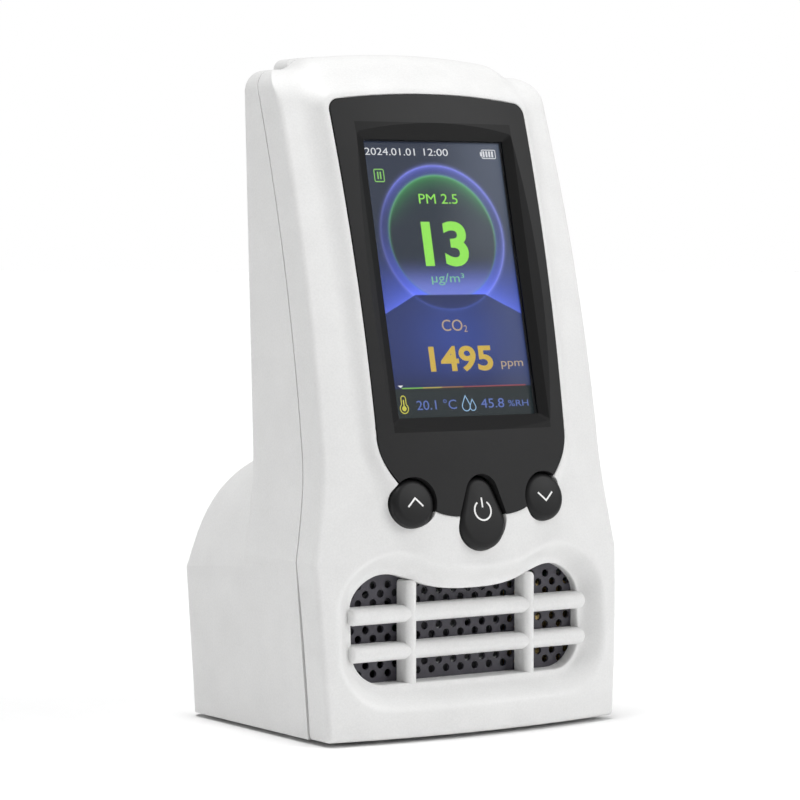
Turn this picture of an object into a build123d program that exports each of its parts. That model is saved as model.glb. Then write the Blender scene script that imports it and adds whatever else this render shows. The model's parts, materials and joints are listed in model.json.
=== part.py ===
"""Desktop air quality monitor: an upright case on a wider foot, with a recessed colour display, three
keys and a barred air intake in front, and a domed battery and sensor bay behind.

Millimetres.  +Z is up and the front faces -Y.  The origin is the centre of the footprint, on the
surface that the rubber feet stand on."""

import os
from math import cos, radians, sin, sqrt, tan

from build123d import *

os.makedirs("parts", exist_ok=True)

# ---------------------------------------------------------------- driving dimensions
wall = 2.2  # case wall
foot_height = 1.0  # rubber feet under the case
base_half_width = 41.7  # case half width at its underside
crease_half_width = 44.2  # widest line, where the foot's sides turn in
crease_z = 42.8  # that line's height at the front corners
crease_drop = 5.2  # degrees that the line falls towards the back
shoulder_half_width = 40.6  # where the flare above the crease has died out
shoulder_z = 68.0
head_half_width = 39.3  # case half width near the top
flange_top = 158.6  # top of the case beside the raised centre
case_top = 163.0  # top of the raised centre
top_arch = 1.7  # rise of the top between its corners
rear_y = 34.6  # back wall of the foot
back_plane_y = 7.9  # back of the upright at back_plane_z
back_plane_z = 74.0
back_lean = 3.8  # degrees that the back of the upright leans
back_round = 3.0  # rounding around the back of the upright

crown_radius = 195.0  # the front is crowned in plan with about this radius
front_crease_y = -32.4  # centre line of the front at the crease
front_foot_y = (-34.25, -33.8)  # centre line of the front at the underside and at half the foot's height
front_lean = 5.1  # degrees that the front leans back at the crease
front_radius = 437.0  # and curves back above it
flange_depth = 8.7  # front edge of the case to the parting line

raised_y = -23.9  # centre line of the raised panel at raised_z
raised_z = 105.5
raised_lean = 12.75
raised_radius = 509.0
rim = 1.35  # white rim around the black bezel

display_lean = 13.1  # the display, the main board and the keys share this lean
display_y = -18.2
display_z = 108.5
active_width = 40.6  # visible part of the display
active_height = 67.7
recess_foot = 1.4  # the sloped sides of the recess start this far in front of the display's plane
recess_brow = 6.5
recess_slopes = (2.3, 1.75)  # outward run per millimetre of depth: at the sides, at the top and bottom

key_x = 18.9  # round keys, left and right of the middle key
key_z = 55.9
key_radius = 5.8
key_proud = 1.8  # key top above the panel
key_gap = 0.3
key_travel = 0.7

board_gap = 7.6  # display face to the front of the main board
board_thickness = 1.6
board_width = 62.0
board_top = 46.0  # along the display's own height, from its centre
board_bottom = -62.0

bar_width = 2.9  # upright grille bars
bar_height = 4.1  # level grille bars
bar_x = 17.2
bar_z = (20.9, 29.7)
bar_face_y = -28.7
bar_depth = 4.9
mesh_y = -23.5  # front of the perforated plate
mesh_thickness = 0.8
mesh_hole = 1.9
mesh_pitch = 4.2

screw_x = 33.9  # case screws
screw_z = (82.0, 138.0)
board_screw_places = ((27.6, 42.0), (27.6, -38.0))  # on the display's plane, left and right alike

floor_z = foot_height + wall  # inside the underside
pm_size = (50.0, 21.0, 38.0)  # laser particle sensor
pm_corner = (-36.0, -21.4, floor_z)
pm_wall = 1.2
fan_size = 25.0
fan_depth = 8.0
fan_bore = 11.2  # radius
rotor_radius = 10.6
spindle_radius = 0.93
rotor_bore = 1.0
co2_x = 27.5
co2_board_y = -10.0
cell_radius = 9.2  # 18650 cell
cell_length = 65.0
cell_y = 13.5
cell_z = 20.0
usb_z = 9.3
usb_width = 7.5
usb_height = 2.6

# ---------------------------------------------------------------- shared planes
display_plane = Plane(
    origin=(0, display_y, display_z),
    x_dir=(1, 0, 0),
    z_dir=(0, -cos(radians(display_lean)), sin(radians(display_lean))),
)
crown_axis_y = front_crease_y + crown_radius
crown_axis = Axis((0, crown_axis_y, 0), (0, 0, 1))
radial_plane = Plane(origin=(0, crown_axis_y, 0), x_dir=(1, 0, 0), z_dir=(0, -1, 0))
crease_plane = Plane(
    origin=(0, -27.6, crease_z),
    x_dir=(1, 0, 0),
    z_dir=(0, sin(radians(crease_drop)), cos(radians(crease_drop))),
)
side_plane = Plane(origin=(0, 0, 0), x_dir=(0, 1, 0), z_dir=(1, 0, 0))
front_plane = Plane(origin=(0, 0, 0), x_dir=(1, 0, 0), z_dir=(0, -1, 0))
reach = 60.0  # tools run this far past the case
crest_allowance = 0.05  # keeps a revolved crest clear of the flat top that trims it


def display_level(height):
    """A plane parallel to the display, in front of it where height is above zero."""
    return display_plane.offset(height)


def board_level(height):
    """A plane parallel to the main board's front face, in front of it where height is above zero."""
    return display_plane.offset(height - board_gap)


def on_display(z, x=0.0):
    """The place on the display's plane, in its own two directions, of a point at height z."""
    return (x, (z - display_z) / cos(radians(display_lean)))


# ---------------------------------------------------------------- curves of the case
def arc_y(z, y_0, z_0, lean, radius, inset):
    """Depth at height z of a side-view arc that passes (y_0, z_0) leaning back by lean degrees."""
    centre_y = y_0 + radius * cos(radians(lean))
    centre_z = z_0 - radius * sin(radians(lean))
    return centre_y - sqrt((radius - inset) ** 2 - (z - centre_z) ** 2)


def case_front(z, inset=0.0):
    return arc_y(z, front_crease_y, crease_z, front_lean, front_radius, inset)


def panel_front(z, inset=0.0):
    return arc_y(z, raised_y, raised_z, raised_lean, raised_radius, inset)


def back_y(z):
    return back_plane_y + (z - back_plane_z) * tan(radians(back_lean))


def revolved_front(front, low, top, round_over, inset=0.0, foot=False):
    """Everything behind a front surface that is crowned about the crown axis."""
    top += crest_allowance
    start = crease_z if foot else low
    middle = (start + top) / 2
    with BuildPart() as solid:
        with BuildSketch(radial_plane) as profile:
            with BuildLine():
                if foot:
                    half = (crease_z + low) / 2
                    ThreePointArc(
                        (crown_axis_y - front_foot_y[0] - inset, low),
                        (crown_axis_y - front_foot_y[1] - inset, half),
                        (crown_axis_y - front(crease_z, inset), crease_z),
                    )
                ThreePointArc(
                    *[(crown_axis_y - front(z, inset), z) for z in (start, middle, top)]
                )
                Polyline(
                    (crown_axis_y - front(top, inset), top),
                    (crown_axis_y - reach, top),
                    (crown_axis_y - reach, low),
                    (crown_axis_y - (front_foot_y[0] + inset if foot else front(low, inset)), low),
                )
            make_face()
            fillet(profile.vertices().group_by(Axis.Y)[-1].sort_by(Axis.X)[-1], round_over)
        revolve(axis=crown_axis)
    return solid.part


def outline_prism(inset=0.0):
    """Front view of the case without its raised centre, run through from front to back."""
    low = foot_height + inset
    top = flange_top - inset
    corner = 5.2 - inset
    head = head_half_width - inset
    with BuildPart() as solid:
        with BuildSketch(front_plane):
            with BuildLine():
                for side in (-1, 1):
                    Line((0, low), (side * (base_half_width - inset), low))
                    Line(
                        (side * (base_half_width - inset), low),
                        (side * (crease_half_width - inset), crease_z),
                    )
                    Spline(
                        (side * (crease_half_width - inset), crease_z),
                        (side * (42.2 - inset), 53.2),
                        (side * (shoulder_half_width - inset), shoulder_z),
                        tangents=[(-side * 0.2, 0.98), (-side * 0.015, 1)],
                    )
                    Line(
                        (side * (shoulder_half_width - inset), shoulder_z),
                        (side * head, top - corner),
                    )
                    RadiusArc(
                        (side * head, top - corner), (side * (head - corner), top), -side * corner
                    )
                    Line((side * (head - corner), top), (0, top))
            make_face()
        extrude(amount=reach, both=True)
    return solid.part


def back_prism(top, round_over=0.0, inset=0.0):
    """Everything in front of the back of the upright, run through from side to side."""
    with BuildPart() as solid:
        with BuildSketch(side_plane) as profile:
            with BuildLine():
                Polyline(
                    (-reach, foot_height + inset),
                    (back_y(foot_height) - inset, foot_height + inset),
                    (back_y(top) - inset, top - inset),
                    (-reach, top - inset),
                    close=True,
                )
            make_face()
            if round_over:
                fillet(profile.vertices().group_by(Axis.Y)[-1].sort_by(Axis.X)[-1], round_over)
        extrude(amount=reach, both=True)
    return solid.part


def upright(inset=0.0):
    """The upright with the front half of the foot."""
    front = revolved_front(
        case_front, foot_height + inset, flange_top - inset, 8.0 - inset, inset, foot=True
    )
    solid = front & outline_prism(inset) & back_prism(flange_top, inset=inset)
    back_face = solid.faces().sort_by(Axis.Y)[-1]
    back_edges = [edge for edge in back_face.edges() if edge.center().Z > foot_height + 5]
    return solid.fillet(back_round - inset, back_edges)


def foot_block(inset=0.0):
    """The back half of the foot, up to the crease."""
    low = foot_height + inset
    front = -15.0 if inset == 0 else -17.0
    back = rear_y - inset
    crease_back = (rear_y + 27.6) / cos(radians(crease_drop)) - inset
    crease_front = front + 27.6
    with BuildPart() as solid:
        with BuildSketch(Plane.XY.offset(low)):
            with Locations((0, (front + back) / 2)):
                RectangleRounded(2 * (base_half_width - inset), back - front, 4.2 - inset)
        with BuildSketch(crease_plane):
            with Locations((0, (crease_front + crease_back) / 2)):
                RectangleRounded(
                    2 * (crease_half_width - inset), crease_back - crease_front, 4.6 - inset
                )
        loft(ruled=True)
    return solid.part


# level above the crease, how far the side and the back have come in, and the corner radius
dome_sections = (
    (0.0, 0.0, 0.0, 4.6),
    (7.0, 1.6, 1.6, 5.8),
    (13.5, 3.4, 3.8, 6.8),
    (18.5, 5.6, 6.5, 7.5),
    (22.5, 8.6, 9.8, 7.5),
    (26.0, 13.0, 14.5, 7.5),
    (29.0, 24.0, 30.0, 5.0),
)


def dome(inset=0.0):
    """The smooth shoulder behind the upright, above the crease."""
    front = 19.6 if inset == 0 else 17.0
    back = (rear_y + 27.6) / cos(radians(crease_drop))
    with BuildPart() as solid:
        for level, side_in, back_in, corner in dome_sections:
            with BuildSketch(crease_plane.offset(level - (inset if level else 0))):
                section_back = back - back_in - inset
                with Locations((0, (front + section_back) / 2)):
                    RectangleRounded(
                        2 * (crease_half_width - side_in - inset), section_back - front, corner - inset
                    )
        loft()
    return solid.part


def panel_outline(side, grow=0.0):
    """Half of the raised panel's lower outline, from its side to its middle, as a spline."""
    return Spline(
        (side * (27.1 + grow), 71.0),
        (side * (24.5 + 0.8 * grow), 63.7 - 0.6 * grow),
        (side * (14.1 + 0.4 * grow), 54.5 - grow),
        (0, 52.4 - grow),
        tangents=[(-side * 0.05, -1), (-side, 0)],
    )


def panel_prism(grow, top, arch, corner):
    """Front view of the raised panel, run through from front to back."""
    with BuildPart() as solid:
        with BuildSketch(front_plane) as profile:
            with BuildLine():
                for side in (-1, 1):
                    panel_outline(side, grow)
                    Line((side * (27.1 + grow), 71.0), (side * (28.3 + grow), top - arch))
                ThreePointArc((-28.3 - grow, top - arch), (0, top), (28.3 + grow, top - arch))
            make_face()
            fillet(profile.vertices().group_by(Axis.Y)[-1], corner)
        extrude(amount=reach, both=True)
    return solid.part


def raised_centre():
    """The raised centre of the case, from the keys over the top to the back."""
    front = revolved_front(panel_front, 45.0, case_top, 9.0)
    return front & panel_prism(rim, case_top, top_arch, 2.6) & back_prism(case_top, back_round)


def egg(grow=0.0):
    """The middle key's outline on the display's plane: wider below than above."""
    with BuildSketch(mode=Mode.PRIVATE) as outline:
        with Locations(on_display(50.7)):
            Circle(6.6 + grow)
        with Locations(on_display(57.1)):
            Circle(4.4 + grow)
        make_hull()
    return outline.sketch


def parting_tool(shift=0.0):
    """Everything in front of the parting line."""
    edge = crown_radius - sqrt(crown_radius**2 - head_half_width**2)
    back = edge + flange_depth + shift
    top = case_top + 5
    with BuildPart() as solid:
        with BuildSketch(side_plane):
            with BuildLine():
                ThreePointArc(*[(case_front(z) + back, z) for z in (crease_z, 100.0, top)])
                Polyline(
                    (case_front(top) + back, top),
                    (-reach, top),
                    (-reach, -5),
                    (front_foot_y[0] + back + 0.2, -5),
                    (case_front(crease_z) + back, crease_z),
                )
            make_face()
        extrude(amount=reach, both=True)
    return solid.part


def finish(part, name):
    """Label a finished piece and write it."""
    part.label = name
    export_step(part, f"parts/{name}.step")
    return part


def grille_outline(grow=0.0):
    """Front view of the intake opening: bays at both top corners and a sagging top edge between them."""
    with BuildSketch(mode=Mode.PRIVATE) as outline:
        with BuildLine():
            for side in (-1, 1):
                Spline(
                    (side * (33.0 + grow), 31.5),
                    (side * (26.2 + 0.3 * grow), 38.9 + grow),
                    (side * 13.5, 36.4 + grow),
                    (0, 34.9 + grow),
                    tangents=[(0, 1), (-side, 0)],
                )
                Line((side * (33.0 + grow), 31.5), (side * (33.0 + grow), 22.0))
                ThreePointArc(
                    (side * (33.0 + grow), 22.0),
                    (side * (30.8 + 0.72 * grow), 15.9 - 0.72 * grow),
                    (side * 25.0, 13.4 - grow),
                )
            Line((-25.0, 13.4 - grow), (25.0, 13.4 - grow))
        make_face()
    return outline.sketch


def grille_plane(y):
    return front_plane.offset(-y)


def box(low, high):
    """A box between two corners."""
    size = [b - a for a, b in zip(low, high)]
    return Pos(*[(a + b) / 2 for a, b in zip(low, high)]) * Box(*size)


def board_box(x, v, width, height, low, high):
    """A box on the main board, between two levels measured forward from its front face."""
    with BuildPart() as solid:
        with BuildSketch(board_level(low)):
            with Locations((x, v)):
                Rectangle(width, height)
        extrude(amount=high - low)
    return solid.part


# ---------------------------------------------------------------- case
outer = upright() + foot_block() + dome() + raised_centre()
cavity = upright(wall) + foot_block(wall) + dome(wall)

with BuildPart() as display_opening:
    with BuildSketch(display_level(-12)):
        RectangleRounded(active_width + 9.2, active_height + 9.2, 1.5)
    extrude(amount=30)

recess_run = [2 * slope * (recess_brow - recess_foot) for slope in recess_slopes]
with BuildPart() as display_recess:
    with BuildSketch(display_level(0.9)):
        RectangleRounded(active_width, active_height, 0.3)
    extrude(amount=recess_foot - 0.9)
    with BuildSketch(display_level(recess_foot)):
        RectangleRounded(active_width, active_height, 0.3)
    with BuildSketch(display_level(recess_brow)):
        RectangleRounded(active_width + recess_run[0], active_height + recess_run[1], 3.0)
    loft()

with BuildPart() as key_holes:
    with BuildSketch(display_level(-9)):
        with Locations(on_display(key_z, -key_x), on_display(key_z, key_x)):
            Circle(key_radius + key_gap)
        add(egg(key_gap))
    extrude(amount=18)

bezel_prism = panel_prism(0.0, 152.8, 1.9, 2.8)
bezel_pocket = panel_prism(0.12, 152.92, 1.9, 2.9) - revolved_front(
    panel_front, 45.0, case_top, 9.0, inset=2.3
)

with BuildPart() as intake_dish:
    with BuildSketch(grille_plane(-36.6)):
        add(grille_outline(7.0))
    with BuildSketch(grille_plane(bar_face_y)):
        add(grille_outline())
    loft(ruled=True)
    with BuildSketch(grille_plane(bar_face_y)):
        add(grille_outline())
    extrude(amount=-(mesh_y - bar_face_y + 1))

with BuildPart() as intake_frame:
    with BuildSketch(grille_plane(-33.0)):
        add(grille_outline(4.6))
    extrude(amount=-(mesh_y + 33.0))

with BuildPart() as grille_bars:
    with BuildSketch(side_plane):
        with Locations(*[(bar_face_y + bar_height / 2, z) for z in bar_z]):
            Circle(bar_height / 2)
        with Locations(*[(bar_face_y + (bar_height / 2 + bar_depth) / 2, z) for z in bar_z]):
            Rectangle(bar_depth - bar_height / 2, bar_height)
    extrude(amount=33.2, both=True)
    with BuildSketch(Plane.XY.offset(13.0)):
        with Locations((-bar_x, bar_face_y + bar_width / 2), (bar_x, bar_face_y + bar_width / 2)):
            Circle(bar_width / 2)
        bar_middle = bar_face_y + (bar_width / 2 + bar_depth) / 2
        with Locations((-bar_x, bar_middle), (bar_x, bar_middle)):
            Rectangle(bar_width, bar_depth - bar_width / 2)
    extrude(amount=24.4)

with BuildPart() as board_bosses:
    with BuildSketch(board_level(0)):
        with Locations(*[(side * x, v) for x, v in board_screw_places for side in (-1, 1)]):
            Circle(2.6)
    extrude(amount=12)

with BuildPart() as board_pilots:
    with BuildSketch(board_level(0)):
        with Locations(*[(side * x, v) for x, v in board_screw_places for side in (-1, 1)]):
            Circle(1.05)
    extrude(amount=2.8)

screw_places = [(side * screw_x, z) for z in screw_z for side in (-1, 1)]


def case_screw_tool(radius, front, back):
    """A cylinder on each case screw's axis, between two depths that are functions of height."""
    with BuildPart() as solid:
        for x, z in screw_places:
            with BuildSketch(front_plane.offset(-front(z))):
                with Locations((x, z)):
                    Circle(radius)
            extrude(amount=-(back(z) - front(z)))
    return solid.part


def parting_y(z):
    return case_front(z) + crown_radius - sqrt(crown_radius**2 - head_half_width**2) + flange_depth


front_bosses = case_screw_tool(2.7, lambda z: parting_y(z) - 13, lambda z: parting_y(z) + 4)
front_pilots = case_screw_tool(1.1, lambda z: parting_y(z) - 7.5, lambda z: parting_y(z) + 4)
rear_bosses = case_screw_tool(3.1, lambda z: parting_y(z) - 4, lambda z: back_y(z))
screw_holes = case_screw_tool(1.3, lambda z: parting_y(z) - 4, lambda z: back_y(z))
screw_wells = case_screw_tool(2.3, lambda z: parting_y(z) + 3, lambda z: back_y(z) + 2)

foot_places = [(x, y) for x in (-32.0, 32.0) for y in (-20.5, 25.0)]
with BuildPart() as foot_pockets:
    with BuildSketch(Plane.XY.offset(foot_height)):
        with Locations(*foot_places):
            Circle(5.0)
    extrude(amount=0.8)

parting = parting_tool()
front_shell = (outer & parting) - cavity
front_shell += outer & intake_frame.part
front_shell += (board_bosses.part & outer) + (front_bosses & outer & parting)
front_shell -= bezel_pocket
front_shell -= display_opening.part
front_shell -= key_holes.part
front_shell -= intake_dish.part
front_shell -= board_pilots.part
front_shell -= front_pilots
front_shell -= foot_pockets.part
front_shell += grille_bars.part
front_cover = finish(front_shell.solids().sort_by(SortBy.VOLUME)[-1], "front_cover")

with BuildPart() as rear_openings:
    with BuildSketch(front_plane.offset(-(rear_y + 1))):
        with GridLocations(4.0, 1, 13, 1):
            with Locations((0, 26.0)):
                SlotOverall(17.0, 1.9, rotation=90)
        with Locations((0, usb_z)):
            RectangleRounded(usb_width + 1.6, usb_height + 1.6, 1.0)
    extrude(amount=4)

plate_size = (44.0, 22.0)
with BuildPart() as plate_pocket:
    with BuildSketch(Plane.XY.offset(foot_height)):
        with Locations((0, 10.0)):
            RectangleRounded(*plate_size, 1.5)
    extrude(amount=0.3)

rear_shell = (outer - parting_tool(0.15)) - cavity
rear_shell += (rear_bosses & outer) - parting_tool(0.15)
rear_shell -= screw_holes
rear_shell -= screw_wells
rear_shell -= rear_openings.part
rear_shell -= foot_pockets.part
rear_shell -= plate_pocket.part
rear_cover = finish(rear_shell.solids().sort_by(SortBy.VOLUME)[-1], "rear_cover")

with BuildPart() as rubber_feet:
    with BuildSketch():
        with Locations(*foot_places):
            Circle(4.9)
    extrude(amount=foot_height + 0.8)
    fillet(rubber_feet.edges().group_by(Axis.Z)[0], 0.4)
finish(rubber_feet.part, "rubber_feet")

with BuildPart() as rating_plate:
    with BuildSketch(Plane.XY.offset(foot_height + 0.05)):
        with Locations((0, 10.0)):
            RectangleRounded(plate_size[0] - 0.3, plate_size[1] - 0.3, 1.4)
    extrude(amount=0.25)
finish(rating_plate.part, "rating_plate")

# ---------------------------------------------------------------- display
with BuildPart() as recess_walls:
    with BuildSketch(display_level(1.1)):
        RectangleRounded(active_width + 8.6, active_height + 8.6, 1.2)
    extrude(amount=14)

with BuildPart() as window_space:
    with BuildSketch(display_level(-12)):
        RectangleRounded(active_width + 7.3, active_height + 8.3, 1.1)
    extrude(amount=13.1)

bezel_front = revolved_front(panel_front, 45.0, case_top, 9.0, inset=-0.15)
bezel_back = revolved_front(panel_front, 45.0, case_top, 9.0, inset=2.2)
display_bezel = (bezel_front & bezel_prism) - bezel_back
display_bezel += recess_walls.part & bezel_front & bezel_prism
display_bezel = display_bezel - display_recess.part - window_space.part - key_holes.part
display_bezel = finish(display_bezel.solids().sort_by(SortBy.VOLUME)[-1], "display_bezel")

with BuildPart() as display_window:
    with BuildSketch(display_level(0.1)):
        RectangleRounded(active_width + 7.0, active_height + 8.0, 1.0)
    extrude(amount=1.0)
finish(display_window.part, "display_window")

with BuildPart() as lcd_panel:
    with BuildSketch(display_level(-1.7)):
        Rectangle(active_width + 2.6, active_height + 4.0)
    extrude(amount=1.7)
finish(lcd_panel.part, "lcd_panel")

with BuildPart() as lcd_backlight:
    with BuildSketch(display_level(-4.4)):
        RectangleRounded(active_width + 5.0, active_height + 7.0, 0.8)
    extrude(amount=4.2)
    with BuildSketch(display_level(-1.7)):
        Rectangle(active_width + 2.8, active_height + 4.2)
    extrude(amount=3, mode=Mode.SUBTRACT)
finish(lcd_backlight.part, "lcd_backlight")

flex_v = -(active_height / 2 + 3.5)
flex_plane = Plane(origin=display_plane.origin, x_dir=display_plane.y_dir, z_dir=display_plane.x_dir)
with BuildPart() as lcd_flex:
    with BuildSketch(flex_plane.offset(-9)):
        with BuildLine() as flex_path:
            FilletPolyline(
                (flex_v, -4.55), (flex_v, -5.5), (flex_v + 4, -6.4), (flex_v + 12, -6.4), radius=0.4
            )
            offset(amount=0.1, side=Side.BOTH)
        make_face()
    extrude(amount=18)
finish(lcd_flex.part, "lcd_flex")

# ---------------------------------------------------------------- main board and keys
with BuildPart() as main_board:
    with BuildSketch(board_level(-board_thickness)):
        with Locations((0, (board_top + board_bottom) / 2)):
            RectangleRounded(board_width, board_top - board_bottom, 1.5)
        with Locations(*[(side * x, v) for x, v in board_screw_places for side in (-1, 1)]):
            Circle(1.2, mode=Mode.SUBTRACT)
    extrude(amount=board_thickness)
finish(main_board.part, "main_board")

with BuildPart() as board_screws:
    with BuildSketch(board_level(-board_thickness - 1.3)):
        with Locations(*[(side * x, v) for x, v in board_screw_places for side in (-1, 1)]):
            Circle(1.9)
    extrude(amount=1.3)
    with BuildSketch(board_level(-board_thickness)):
        with Locations(*[(side * x, v) for x, v in board_screw_places for side in (-1, 1)]):
            Circle(1.0)
    extrude(amount=board_thickness + 2.5)
    with BuildSketch(board_level(-board_thickness - 1.3)):
        with Locations(*[(side * x, v) for x, v in board_screw_places for side in (-1, 1)]):
            RegularPolygon(0.9, 6)
    extrude(amount=0.7, mode=Mode.SUBTRACT)
finish(board_screws.part, "board_screws")

back_parts = (  # x, v, width, height, depth of each component on the back of the main board
    (-6.0, 8.0, 12.0, 12.0, 1.2),
    (12.0, 14.0, 8.0, 6.0, 1.0),
    (16.0, -6.0, 9.0, 9.0, 3.2),
    (-20.0, -12.0, 6.0, 6.0, 2.6),
    (4.0, -14.0, 5.0, 4.0, 1.0),
    (-22.0, 26.0, 7.0, 4.5, 1.4),
)
chips = [
    board_box(x, v, width, height, -board_thickness - depth, -board_thickness)
    for x, v, width, height, depth in back_parts
]
finish(Compound(children=chips), "board_chips")

with BuildPart() as buzzer:
    with BuildSketch(board_level(-board_thickness - 4.2)):
        with Locations((18.0, 32.0)):
            Circle(6.0)
    extrude(amount=4.2)
    with BuildSketch(board_level(-board_thickness - 4.2)):
        with Locations((18.0, 32.0)):
            Circle(1.0)
    extrude(amount=1.5, mode=Mode.SUBTRACT)
finish(buzzer.part, "buzzer")

lead_x = -18.0
lead_v = -34.0
battery_connector = board_box(lead_x, lead_v, 8.0, 5.0, -board_thickness - 4.5, -board_thickness)
finish(battery_connector, "battery_connector")
sensor_x = 18.0
sensor_connector = board_box(sensor_x, lead_v, 11.0, 5.0, -board_thickness - 4.5, -board_thickness)
finish(sensor_connector, "sensor_connector")

key_middle_v = on_display(53.6)[1]
key_places = {
    "set": (-key_x, on_display(key_z)[1]),
    "enter": (0.0, key_middle_v),
    "memory": (key_x, on_display(key_z)[1]),
}
collar_top = -3.8
collar_bottom = -4.5
stem_end = -4.7
switch_top = -5.4 + board_gap  # above the board
plunger_length = 1.6
bore_depth = 1.95


def key_sketch(name, grow=0.0):
    """A key's outline on the display's plane."""
    if name == "enter":
        return egg(grow)
    x, v = key_places[name]
    with BuildSketch(mode=Mode.PRIVATE) as outline:
        with Locations((x, v)):
            Circle(key_radius + grow)
    return outline.sketch


for name, (x, v) in key_places.items():
    with BuildPart() as button:
        with BuildSketch(display_level(collar_top)):
            add(key_sketch(name))
        extrude(amount=key_proud - collar_top)
        crown_edges = button.faces().sort_by(Axis(display_plane.origin, display_plane.z_dir))[-1].edges()
        fillet(crown_edges, 1.3)
        with BuildSketch(display_level(collar_bottom)):
            add(key_sketch(name, 1.1))
        extrude(amount=collar_top - collar_bottom)
        with BuildSketch(display_level(collar_bottom)):
            with Locations((x, v)):
                Circle(1.9)
        extrude(amount=stem_end - collar_bottom)
    finish(button.part, f"{name}_button")

    with BuildPart() as plunger:
        with BuildSketch(display_level(stem_end - plunger_length)):
            with Locations((x, v)):
                Circle(1.5)
        extrude(amount=plunger_length)
    finish(plunger.part, f"{name}_plunger")

    with BuildPart() as switch:
        with BuildSketch(board_level(0)):
            with Locations((x, v)):
                RectangleRounded(6.0, 6.0, 0.4)
        extrude(amount=switch_top)
        with BuildSketch(board_level(switch_top)):
            with Locations((x, v)):
                Circle(1.8)
        extrude(amount=-bore_depth, mode=Mode.SUBTRACT)
    finish(switch.part, f"{name}_switch")

# ---------------------------------------------------------------- air intake and sensors
with BuildPart() as intake_mesh:
    with BuildSketch(grille_plane(mesh_y + mesh_thickness)):
        add(grille_outline(1.6))
        with Locations((0, 26.0)):
            with GridLocations(mesh_pitch, mesh_pitch, 16, 5):
                Circle(mesh_hole / 2, mode=Mode.SUBTRACT)
            with GridLocations(mesh_pitch, mesh_pitch, 15, 6):
                Circle(mesh_hole / 2, mode=Mode.SUBTRACT)
    extrude(amount=mesh_thickness)
finish(intake_mesh.part, "intake_mesh")

pm_low = pm_corner
pm_high = tuple(a + b for a, b in zip(pm_corner, pm_size))
fan_x = pm_low[0] + pm_wall + 1.0 + fan_size / 2
fan_z = (pm_low[2] + pm_high[2]) / 2
fan_y = pm_low[1] + pm_wall + 0.3
lid_y = pm_high[1] - pm_wall


def ring(y, outer_radius, inner_radius, depth, x=fan_x, z=fan_z):
    """A ring or disc about a fore-and-aft axis, from y backwards."""
    with BuildPart() as solid:
        with BuildSketch(front_plane.offset(-y)):
            with Locations((x, z)):
                Circle(outer_radius)
                if inner_radius:
                    Circle(inner_radius, mode=Mode.SUBTRACT)
        extrude(amount=-depth)
    return solid.part


pm_case = box(pm_low, (pm_high[0], lid_y, pm_high[2]))
pm_case -= box(
    (pm_low[0] + pm_wall, pm_low[1] + pm_wall, pm_low[2] + pm_wall),
    (pm_high[0] - pm_wall, lid_y + 1, pm_high[2] - pm_wall),
)
pm_case -= ring(pm_low[1] - 1, 10.0, 0, pm_wall + 2)
for z in (12.0, 18.0, 24.0):
    pm_case -= box((2.0, pm_low[1] - 1, z), (10.0, pm_low[1] + pm_wall + 1, z + 2.0))
finish(pm_case, "pm_sensor_case")

pm_lid = box((pm_low[0], lid_y, pm_low[2]), pm_high)
finish(pm_lid, "pm_sensor_lid")

intake_gasket = ring(mesh_y + mesh_thickness, 13.5, 10.2, pm_low[1] - mesh_y - mesh_thickness)
finish(intake_gasket, "intake_gasket")

fan_half = fan_size / 2
fan_frame = box(
    (fan_x - fan_half, fan_y, fan_z - fan_half), (fan_x + fan_half, fan_y + fan_depth, fan_z + fan_half)
)
fan_frame -= ring(fan_y - 1, fan_bore, 0, fan_depth + 2)
back_of_fan = fan_y + fan_depth - 0.8
fan_frame += ring(back_of_fan, 4.2, 0, 0.8)
for turn in (30, 150, 270):
    with BuildPart() as spoke:
        with BuildSketch(front_plane.offset(-back_of_fan)):
            with Locations((fan_x, fan_z)):
                with PolarLocations(0, 1, turn):
                    with Locations((fan_bore / 2 + 1.5, 0)):
                        Rectangle(fan_bore - 1.0, 1.4)
        extrude(amount=-0.8)
    fan_frame += spoke.part
fan_frame += ring(fan_y + 2.4, spindle_radius, 0, back_of_fan - fan_y - 2.4)
finish(fan_frame, "fan_frame")

rotor_y = fan_y + 0.9
rotor_depth = back_of_fan - 0.4 - rotor_y
fan_rotor = ring(rotor_y, 4.6, 0, rotor_depth)
for turn in range(7):
    with BuildPart() as blade:
        with BuildSketch(front_plane.offset(-rotor_y - 0.4)):
            with Locations((fan_x, fan_z)):
                with PolarLocations(0, 1, turn * 360 / 7):
                    with Locations((4.4 + (rotor_radius - 4.4) / 2, 0)):
                        Rectangle(rotor_radius - 4.4, 1.1, rotation=12)
        extrude(amount=-(rotor_depth - 0.8))
    fan_rotor += blade.part
fan_rotor -= ring(rotor_y + 1.0, rotor_bore, 0, rotor_depth)
finish(fan_rotor, "fan_rotor")

pm_board = box(
    (pm_low[0] + 2, lid_y - 2.2, pm_low[2] + 2),
    (pm_high[0] - 2, lid_y - 1.2, pm_high[2] - 2),
)
finish(pm_board, "pm_board")
laser_y = lid_y - 2.2 - 3.2
with BuildPart() as laser_diode:
    with BuildSketch(Plane(origin=(-8.0, laser_y, 10.0), x_dir=(0, 1, 0), z_dir=(1, 0, 0))):
        Circle(2.8)
    extrude(amount=7.0)
    with BuildSketch(Plane(origin=(-1.0, laser_y, 10.0), x_dir=(0, 1, 0), z_dir=(1, 0, 0))):
        Circle(2.0)
    extrude(amount=1.5)
finish(laser_diode.part, "laser_diode")
light_detector = box((3.0, lid_y - 2.2 - 2.4, 8.0), (7.0, lid_y - 2.2, 12.0))
finish(light_detector, "light_detector")
pm_socket = box((-30.0, lid_y + pm_wall, 33.0), (-19.0, lid_y + pm_wall + 3.6, 38.5))
finish(pm_socket, "pm_socket")

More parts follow.
